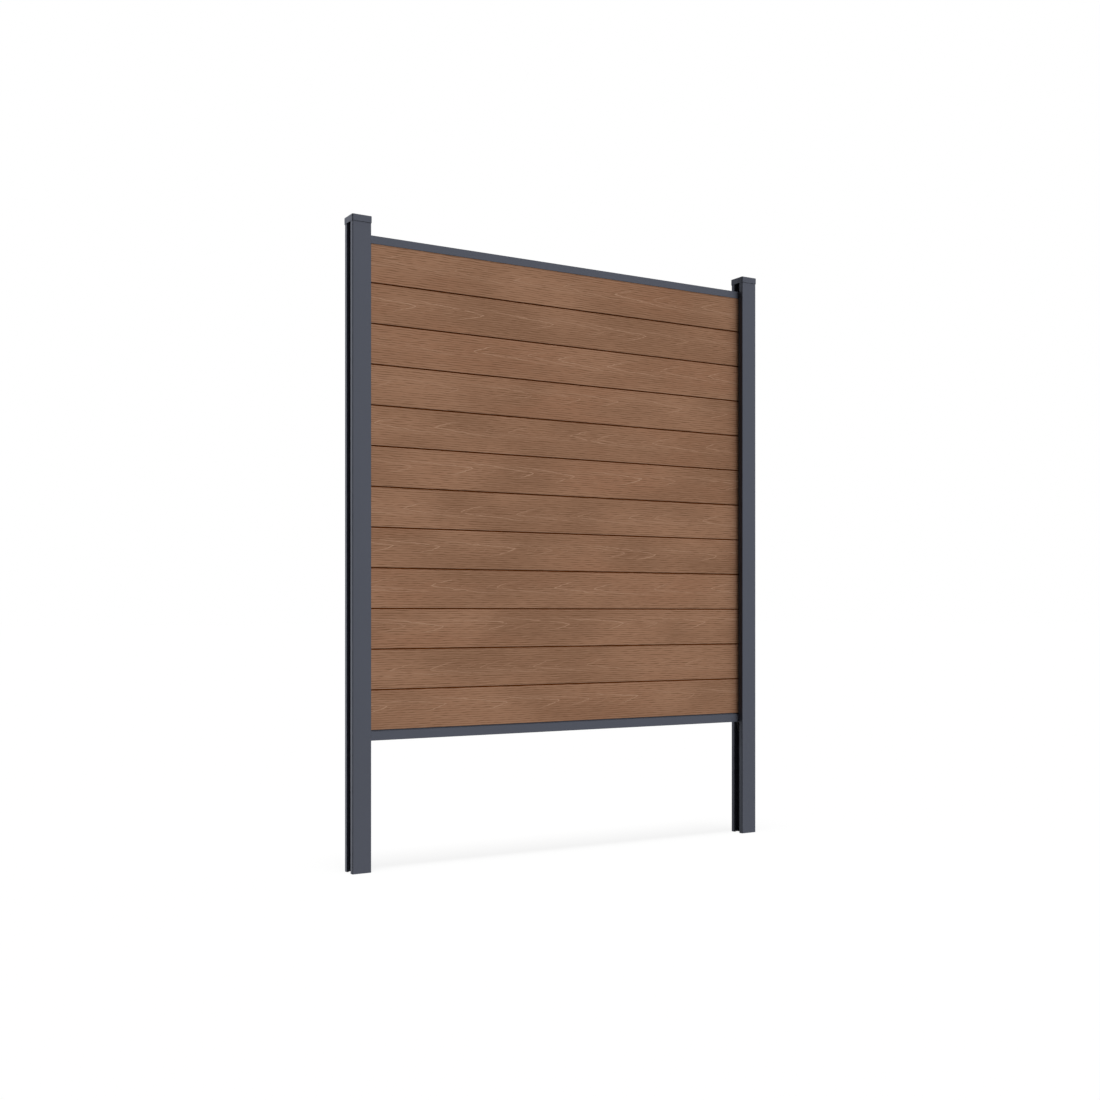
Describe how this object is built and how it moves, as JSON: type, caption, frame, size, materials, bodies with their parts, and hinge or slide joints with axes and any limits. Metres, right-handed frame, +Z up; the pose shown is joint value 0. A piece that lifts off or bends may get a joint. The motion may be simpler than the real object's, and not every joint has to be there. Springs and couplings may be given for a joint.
{
  "type": "fence panel",
  "caption": "Privacy fence panel of stacked brown composite boards between rails, held in the side slots of two square anthracite posts with flat caps.",
  "frame": {"origin": "on the ground line under the posts, midway between the two post feet and mid-depth", "axes": "+X along the panel to the right post, +Y from the front to the back, +Z up"},
  "size_m": [1.878, 0.078, 2.402],
  "materials": {
    "powder_coat": "fine matt anthracite powder coat on extruded aluminium",
    "composite_board": "matt brown wood-plastic composite with embossed grain",
    "strip_rubber": "matt black",
    "black_steel": "matt black",
    "screw_steel": "zinc plated"
  },
  "bodies": {
    "root": {"post_left": "powder_coat", "cap_left": "powder_coat", "stop_left": "black_steel", "post_right": "powder_coat", "cap_right": "powder_coat", "stop_right": "black_steel", "rail_top": "powder_coat", "rail_bottom": "powder_coat", "stop_screws": "screw_steel", "board_01": "composite_board", "board_02": "composite_board", "board_03": "composite_board", "board_04": "composite_board", "board_05": "composite_board", "board_06": "composite_board", "board_07": "composite_board", "board_08": "composite_board", "board_09": "composite_board", "board_10": "composite_board", "board_11": "composite_board", "board_12": "composite_board", "strip_left_front": "strip_rubber", "strip_left_back": "strip_rubber", "strip_right_front": "strip_rubber", "strip_right_back": "strip_rubber"}
  },
  "joints": []
}
